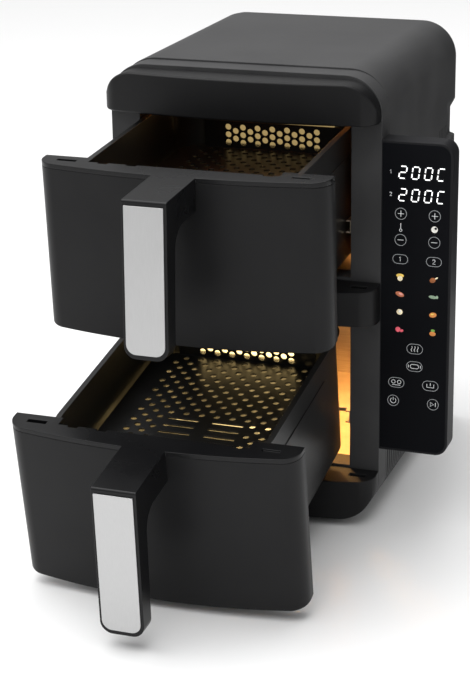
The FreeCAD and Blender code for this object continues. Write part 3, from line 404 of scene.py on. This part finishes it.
def glowMaterial(name, colour, strength, tone=0.12):
    # Printed ink or a lit segment: an even glow with a slightly darker rim of ink grain.
    material, tree, shader = newMaterial(name, {"Emission Strength": strength, "Specular IOR Level": 0.2})
    grain = placeGroup(tree, grainGroup, {"Grain Scale": 1800.0, "Blotch Scale": 260.0})
    dim = tuple(channel * (1 - tone) for channel in colour)
    mixed = mixColour(tree, grain.outputs["Blotch"], (*dim, 1), (*colour, 1))
    tree.links.new(mixed, shader.inputs["Base Color"])
    tree.links.new(mixed, shader.inputs["Emission Color"])
    tree.links.new(spread(tree, grain.outputs["Blotch"], 0.35, 0.5), shader.inputs["Roughness"])
    return material


inks = {
    "digit": glowMaterial("litSegment", (1.0, 1.0, 1.0), digit["glow"]),
    "line": glowMaterial("printedLine", (0.3, 0.31, 0.32), 0.6),
    "sign": glowMaterial("printedSign", (0.5, 0.51, 0.52), 0.7),
    "dark": glowMaterial("printedGap", (0.01, 0.01, 0.012), 0.1),
}
foodInks = {
    "cream": (0.85, 0.74, 0.5), "yellow": (0.8, 0.55, 0.12), "white": (0.8, 0.78, 0.72),
    "meat": (0.5, 0.17, 0.09), "pink": (0.75, 0.12, 0.16), "brown": (0.32, 0.11, 0.04),
    "fish": (0.25, 0.34, 0.24), "orange": (0.65, 0.25, 0.07), "green": (0.2, 0.4, 0.08),
    "rose": (0.8, 0.35, 0.3),
}
for inkName, colour in foodInks.items():
    inks[inkName] = glowMaterial("print_" + inkName, colour, 0.45, 0.3)


def onGlass(across, down, out=0.0):
    # A point on the glass, in millimetres from its top left corner.
    return Vector((panelLow.x + across * mm, panelLow.y - panel["proud"] - out, panelHigh.z - down * mm))


def strokes(name, lines, width, ink):
    # Round-ended lines drawn as a curve, pressed flat against the glass.
    curve = bpy.data.curves.new(name, "CURVE")
    curve.dimensions = "3D"
    curve.bevel_depth = width * mm / 2
    curve.bevel_resolution = 1
    curve.use_fill_caps = True
    for points, closed in lines:
        spline = curve.splines.new("POLY")
        spline.points.add(len(points) - 1)
        for spot, (across, down) in zip(spline.points, points):
            spot.co = (*onGlass(across, down), 1)
        spline.use_cyclic_u = closed
    drawn = bpy.data.objects.new(name + "_curve", curve)
    bpy.context.scene.collection.objects.link(drawn)
    mesh = bpy.data.meshes.new_from_object(drawn.evaluated_get(bpy.context.evaluated_depsgraph_get()))
    bpy.data.objects.remove(drawn)
    shape = bmesh.new()
    shape.from_mesh(mesh)
    face = panelLow.y - panel["proud"]
    bmesh.ops.translate(shape, verts=shape.verts, vec=(0, -face, 0))
    bmesh.ops.scale(shape, verts=shape.verts, vec=(1, panel["flatten"], 1))
    bmesh.ops.translate(shape, verts=shape.verts, vec=(0, face, 0))
    bmesh.ops.recalc_face_normals(shape, faces=shape.faces)
    return addPiece(name, shape, inks[ink], "housing")


def circle(across, down, radius, steps=24, start=0.0, turn=360.0):
    count = steps if turn == 360 else steps + 1
    angles = [math.radians(start + turn * k / steps) for k in range(count)]
    return [(across + radius * math.sin(a), down - radius * math.cos(a)) for a in angles]


def pill(across, down, width, height, steps=8):
    reach = (width - height) / 2
    right = circle(across + reach, down, height / 2, steps, 0, 180)
    left = circle(across - reach, down, height / 2, steps, 180, 180)
    return right + left


def digitLines(figure, left, middle):
    lines = []
    for segment in segmentsOf[figure]:
        ends = [Vector(end) for end in segmentEnds[segment]]
        sized = [Vector((e.x * digit["width"], e.y * digit["height"])) for e in ends]
        inset = (sized[1] - sized[0]).normalized() * digit["gap"]
        points = []
        for end in (sized[0] + inset, sized[1] - inset):
            points.append((left + end.x + digit["slant"] * end.y, middle + digit["height"] / 2 - end.y))
        lines.append((points, False))
    return lines


readout = []
for row in digit["rows"]:
    for place, figure in enumerate("200C"):
        readout += digitLines(figure, digit["left"] + place * digit["pitch"], row)
strokes("display_digits", readout, digit["stroke"], "digit")

keys = {
    "left": 16.0, "right": 44.5, "ring": 4.8, "arm": 2.6,
    "plusRow": 58.6, "iconRow": 70.0, "minusRow": 81.0,
    "zoneRow": 97.5, "zonePill": (12.8, 7.8), "foodRows": (113.0, 128.0, 143.5, 159.0),
    "centre": 29.5, "centreRows": (175.0, 190.6), "modePill": (13.6, 8.6), "modeRow": 206.5,
    "modes": (14.0, 43.5), "lastRow": 223.0, "lastKeys": (11.5, 46.0),
}
rings, signs = [], []
for column in (keys["left"], keys["right"]):
    for row in (keys["plusRow"], keys["minusRow"]):
        rings.append((circle(column, row, keys["ring"]), True))
        signs.append(([(column - keys["arm"], row), (column + keys["arm"], row)], False))
    upright = [(column, keys["plusRow"] + end * keys["arm"]) for end in (-1, 1)]
    signs.append((upright, False))
    rings.append((pill(column, keys["zoneRow"], *keys["zonePill"]), True))
pillPlaces = [(keys["centre"], row) for row in keys["centreRows"]]
pillPlaces += [(column, keys["modeRow"]) for column in keys["modes"]]
for column, row in pillPlaces:
    rings.append((pill(column, row, *keys["modePill"]), True))
for column in keys["lastKeys"]:
    rings.append((circle(column, keys["lastRow"], keys["ring"]), True))


def sign(across, down, points, closed=False):
    # A line of points about a key's middle.
    signs.append(([(across + right, down + below) for right, below in points], closed))


# thermometer
thermometer = {"stem": (-3.4, 1.2), "bulb": 1.1, "bulbDown": 2.6}
column, row = keys["left"], keys["iconRow"]
sign(column, row, [(0, end) for end in thermometer["stem"]])
signs.append((circle(column, row + thermometer["bulbDown"], thermometer["bulb"], 10), True))
# three waves
waves = {"pitch": 2.6, "sway": 0.5, "bend": 1.1, "top": -2.4, "step": 0.8, "points": 7}
for k in (-1, 0, 1):
    middle = waves["pitch"] * k
    sign(keys["centre"], keys["centreRows"][0], [
        (middle + waves["sway"] * math.sin(t * waves["bend"]), waves["top"] + waves["step"] * t)
        for t in range(waves["points"])
    ])
# a shaken basket, between two bars
shake = {"width": 7.4, "height": 3.6, "bar": 5.2, "barHalf": 1.2}
column, row = keys["centre"], keys["centreRows"][1]
signs.append((pill(column, row, shake["width"], shake["height"], 5), True))
for hand in (-1, 1):
    sign(column, row, [(hand * shake["bar"], -shake["barHalf"]), (hand * shake["bar"], shake["barHalf"])])
# two rings over a line
pair = {"shift": 2.5, "up": 0.6, "radius": 1.6, "half": 3.5, "down": 2.2}
column, row = keys["modes"][0], keys["modeRow"]
for hand in (-1, 1):
    signs.append((circle(column + hand * pair["shift"], row - pair["up"], pair["radius"], 10), True))
sign(column, row, [(-pair["half"], pair["down"]), (pair["half"], pair["down"])])
# an open box with a pointer
link = {"half": 3, "up": 1.6, "down": 1.4, "pointer": 2.6}
corners = [(-link["half"], -link["up"]), (-link["half"], link["down"])]
corners += [(-across, down) for across, down in reversed(corners)]
sign(keys["modes"][1], row, corners)
sign(keys["modes"][1], row, [(0, -link["pointer"]), (0, 0)])
# power and start
power = {"radius": 2.4, "start": 35, "turn": 290, "top": -3, "foot": -0.4}
start = {"side": 2.2, "half": 1.8, "tip": 0.6}
column, row = keys["lastKeys"][0], keys["lastRow"]
signs.append((circle(column, row, power["radius"], 14, power["start"], power["turn"]), False))
sign(column, row, [(0, power["top"]), (0, power["foot"])])
column = keys["lastKeys"][1]
sign(column, row, [
    (-start["side"], -start["half"]), (-start["side"], start["half"]), (start["tip"], 0)
], True)
sign(column, row, [(start["side"], -start["half"]), (start["side"], start["half"])])


def numeral(which, across, middle, height):
    # A small plain 1 or 2.
    half = height / 2
    if which == "1":
        flag = (across - half * 0.45, middle - half * 0.55)
        return ([flag, (across, middle - half), (across, middle + half)], False)
    top = circle(across, middle - half * 0.45, half * 0.55, 6, -80, 190)
    return (top + [(across - half * 0.6, middle + half), (across + half * 0.65, middle + half)], False)


numerals = {"besideDisplay": 7.2, "displayHeight": 3.0, "keyHeight": 3.8}
for which, row in zip("12", digit["rows"]):
    signs.append(numeral(which, numerals["besideDisplay"], row, numerals["displayHeight"]))
for which, column in zip("12", (keys["left"], keys["right"])):
    signs.append(numeral(which, column, keys["zoneRow"], numerals["keyHeight"]))
strokes("key_outlines", rings, panel["line"], "line")
strokes("key_signs", signs, panel["sign"], "sign")

# each food sign is a few small shapes: (across, down, width, height, turn, ink)
foodSigns = {
    "bread": [(0, -1.2, 6.6, 3.4, 0, "yellow"), (0, 1.2, 4.6, 4.6, 0, "cream")],
    "steak": [(0, 0, 7.6, 4.2, -18, "meat"), (0.8, -0.3, 4.2, 1.8, -18, "rose")],
    "cake": [(0, 0, 5.2, 5.0, 0, "cream"), (0.3, -0.6, 3.0, 2.2, 20, "white")],
    "shrimp": [(-1.2, 0, 4.4, 4.6, 0, "pink"), (2.0, 0.9, 3.2, 2.4, 30, "pink")],
    "drumstick": [(-0.8, 0.4, 5.4, 4.2, 30, "brown"), (2.4, -1.6, 2.8, 1.3, 35, "cream")],
    "fish": [(-0.5, 0, 6.8, 2.8, -6, "fish"), (3.2, -0.2, 2.2, 2.8, 0, "fish")],
    "pastry": [(0, 0, 6.4, 4.4, 12, "orange"), (-0.4, -0.6, 3.0, 1.6, 12, "yellow")],
    "vegetables": [(0, 1.0, 5.4, 4.0, 0, "orange"), (0.2, -1.8, 3.6, 2.2, 0, "green")],
    "timer": [(0, 0, 5.6, 5.6, 0, "white"), (1.0, -1.0, 2.3, 2.3, 0, "dark")],
}
foodColumns = {
    "left": ("bread", "steak", "cake", "shrimp"), "right": ("drumstick", "fish", "pastry", "vegetables"),
}


def foodSign(name, across, down):
    shapes = {}
    for layer, (right, below, width, height, turn, ink) in enumerate(foodSigns[name]):
        shape = shapes.setdefault(ink, bmesh.new())
        made = bmesh.ops.create_cone(
            shape, cap_ends=True, segments=18, radius1=0.5 * mm, radius2=0.46 * mm, depth=0.1 * mm
        )
        bmesh.ops.scale(shape, verts=made["verts"], vec=(width, height, 1 + layer))
        bmesh.ops.rotate(shape, verts=made["verts"], matrix=Matrix.Rotation(math.radians(turn), 3, "Z"))
        bmesh.ops.rotate(shape, verts=made["verts"], matrix=Matrix.Rotation(math.radians(90), 3, "X"))
        bmesh.ops.translate(shape, verts=made["verts"], vec=onGlass(across + right, down + below))
    for ink, shape in shapes.items():
        bmesh.ops.recalc_face_normals(shape, faces=shape.faces)
        addPiece(f"sign_{name}_{ink}", shape, inks[ink], "housing")


for side, names in foodColumns.items():
    for name, row in zip(names, keys["foodRows"]):
        foodSign(name, keys[side], row)
foodSign("timer", keys["right"], keys["iconRow"])
print("panel marks drawn")


# floor, light and camera

def addStage(name, shape, materialName, constants):
    # A studio piece that isn't part of the object.
    mesh = bpy.data.meshes.new(name)
    shape.to_mesh(mesh)
    shape.free()
    mesh.materials.append(newMaterial(materialName, constants)[0])
    piece = bpy.data.objects.new(name, mesh)
    bpy.context.scene.collection.objects.link(piece)
    return piece


floorSizes = {"half": 8.0, "tone": (0.93, 0.93, 0.93, 1)}
shape = bmesh.new()
bmesh.ops.create_grid(shape, x_segments=4, y_segments=4, size=floorSizes["half"])
addStage("floor", shape, "paleFloor", {
    "Base Color": floorSizes["tone"], "Roughness": 0.32, "Specular IOR Level": 0.35,
})

# a dark flag behind on the right, seen only in glossy surfaces
flagSizes = {"left": 0.14, "right": 1.6, "back": 0.5, "height": 1.3}
left, right, top = flagSizes["left"], flagSizes["right"], flagSizes["height"]
shape = bmesh.new()
shape.faces.new([
    shape.verts.new((across, flagSizes["back"], up))
    for across, up in ((left, 0), (right, 0), (right, top), (left, top))
])
flag = addStage("flag", shape, "darkFlag", {
    "Base Color": (0.01, 0.01, 0.01, 1), "Roughness": 1.0, "Specular IOR Level": 0.0,
})
flag.visible_camera = False
flag.visible_diffuse = False
flag.visible_shadow = False
flag.visible_transmission = False

world = bpy.data.worlds.new("studio")
world.use_nodes = True
world.node_tree.nodes["Background"].inputs["Color"].default_value = (1, 1, 1, 1)
world.node_tree.nodes["Background"].inputs["Strength"].default_value = 0.44
bpy.context.scene.world = world

lamps = {
    "overhead": {"place": (-0.4, 0.3, 2.2), "aim": (0, -0.1, 0.2), "size": 2.2, "power": 26},
    "leftBox": {"place": (-1.7, -0.9, 1.3), "aim": (0, -0.1, 0.25), "size": 1.2, "power": 6},
    "frontBox": {"place": (0.1, -1.9, 1.5), "aim": (0, -0.15, 0.2), "size": 0.9, "power": 5},
}
sky = {"turn": (12, -12, 0), "spread": 70, "strength": 2.0}


def addLamp(name, kind, place, power, colour=(1, 1, 1), size=None, aim=None):
    data = bpy.data.lights.new(name, kind)
    data.energy = power
    data.color = colour
    lamp = bpy.data.objects.new(name, data)
    lamp.location = place
    if kind == "AREA":
        data.size = size
        lamp.rotation_euler = (Vector(aim) - Vector(place)).to_track_quat("-Z", "Y").to_euler()
    if kind == "POINT":
        data.shadow_soft_size = size
        lamp.visible_camera = False
    bpy.context.scene.collection.objects.link(lamp)
    return lamp


for name, lamp in lamps.items():
    addLamp(name, "AREA", lamp["place"], lamp["power"], size=lamp["size"], aim=lamp["aim"])

sun = addLamp("sky", "SUN", (0, 0, 3), sky["strength"])
sun.data.angle = math.radians(sky["spread"])
sun.rotation_euler = [math.radians(angle) for angle in sky["turn"]]

# warm light under each cavity's ceiling, and close under and behind each perforated tray
cavityGlow = {
    "lower": {"power": 1.25, "under": 5.0}, "upper": {"power": 0.22, "under": 0.6},
    "colour": (1.0, 0.54, 0.19), "drop": 0.03, "size": 0.02,
}
trayGlow = {
    "colour": (1.0, 0.72, 0.3), "width": 0.15, "backWidth": 0.11, "depth": 0.19, "below": 0.003,
    "inset": 0.008, "behind": 0.0004, "raised": 0.004, "height": 0.022,
}
for side in drawers:
    glow = cavityGlow[side]
    low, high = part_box(side + "_liner")
    middle = (low + high) / 2
    place = (middle.x, middle.y, high.z - cavityGlow["drop"])
    addLamp(side + "Glow", "POINT", place, glow["power"], cavityGlow["colour"], cavityGlow["size"])
    lift = next(joint for joint in frame["joints"] if joint["name"] == side + "_crisper_lift")
    up = Vector(lift["axis"])
    along = Vector((0, up.z, -up.y))
    tray = bpy.data.objects[side + "_crisper_plate"]
    corners = [tray.matrix_world @ vertex.co for vertex in tray.data.vertices]
    bottom = min(corner.dot(up) for corner in corners)
    rear = max(corner.dot(along) for corner in corners)
    under = up * (bottom - trayGlow["below"]) + along * (rear - trayGlow["inset"] - trayGlow["depth"] / 2)
    middle = bottom + trayGlow["raised"] + trayGlow["height"] / 2
    behind = up * middle + along * (rear + trayGlow["behind"])
    sheets = {
        "Under": (under, -up, trayGlow["depth"], trayGlow["width"]),
        "Behind": (behind, along, trayGlow["height"], trayGlow["backWidth"]),
    }
    for sheetName, (place, facing, depth, width) in sheets.items():
        power = glow["under"] * depth / trayGlow["depth"]
        lamp = addLamp(side + sheetName, "AREA", place, power, trayGlow["colour"], 0.1, place + facing)
        lamp.data.shape = "RECTANGLE"
        lamp.data.size = width
        lamp.data.size_y = depth
        lamp.parent = frame["bodies"][side + "_crisper"]

cameraView = {"place": (0.53018, -1.6187, 0.70808), "turn": (70.633, 0.857, 19.665), "lens": 102.75}
cameraData = bpy.data.cameras.new("camera")
cameraData.lens = cameraView["lens"]
cameraData.sensor_width = 36
camera = bpy.data.objects.new("camera", cameraData)
camera.location = cameraView["place"]
camera.rotation_euler = [math.radians(angle) for angle in cameraView["turn"]]
bpy.context.scene.collection.objects.link(camera)
bpy.context.scene.camera = camera
bpy.context.scene.view_settings.view_transform = "Standard"
print("stage ready")
